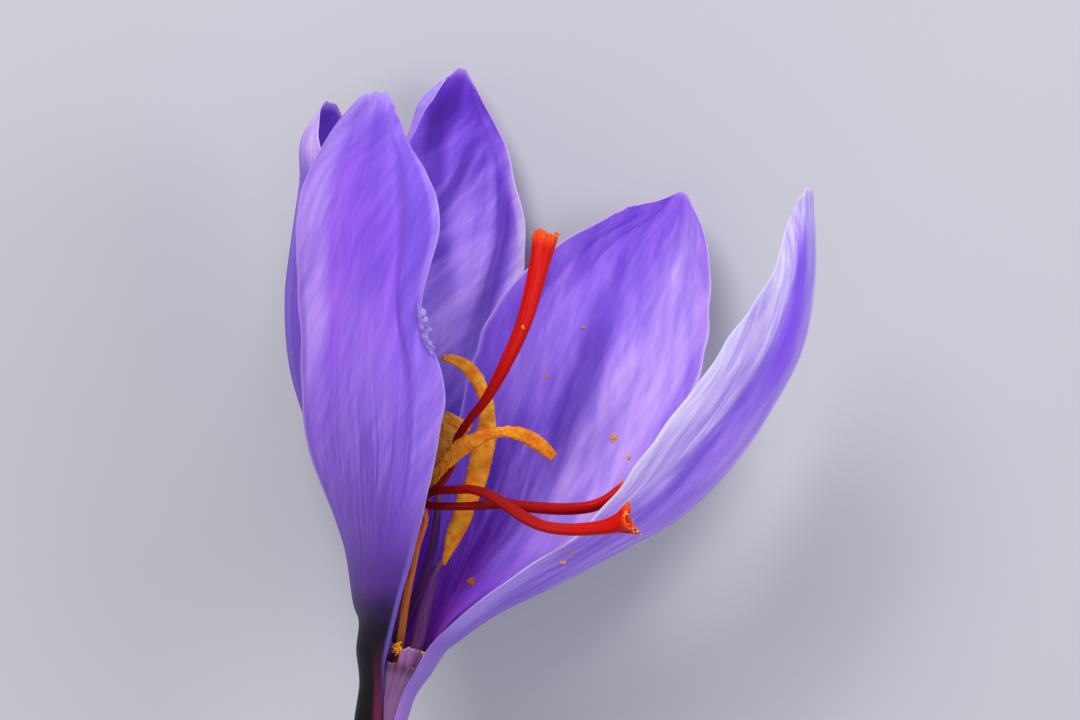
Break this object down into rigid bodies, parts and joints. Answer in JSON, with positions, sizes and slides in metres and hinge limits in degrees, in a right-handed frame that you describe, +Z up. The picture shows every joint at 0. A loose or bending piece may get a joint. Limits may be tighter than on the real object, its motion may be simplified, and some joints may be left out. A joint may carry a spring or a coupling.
{
  "type": "saffron crocus with bulb",
  "caption": "Open violet saffron crocus lying on its back, with red saffron threads, yellow anthers, papery sheaths, a netted corm and short roots.",
  "frame": {"origin": "centre of the small flat spot under the corm, where the plant rests on the surface", "axes": "+Y from the roots to the flower, +X to the flower's right, +Z up"},
  "size_m": [0.0509, 0.1493, 0.0295],
  "materials": {
    "tepal_outer": "satin",
    "tepal_inside": "satin",
    "tepal_pale": "satin",
    "filament": "satin",
    "anther": "matte",
    "pistil": "satin",
    "flower_tube": "satin",
    "sheath": "matte",
    "tunic": "matte",
    "root": "matte"
  },
  "bodies": {
    "root": {"tepal_outer_left": "tepal_outer", "tepal_outer_back": "tepal_inside", "tepal_outer_right": "tepal_pale", "tepal_inner_left": "tepal_outer", "tepal_inner_right": "tepal_inside", "filament_1": "filament", "filament_2": "filament", "filament_3": "filament", "anther_1": "anther", "anther_2": "anther", "anther_3": "anther", "pistil": "pistil", "flower_tube": "flower_tube", "sheath_inner": "sheath", "sheath_outer": "sheath", "corm": "tunic", "roots": "root"}
  },
  "joints": []
}
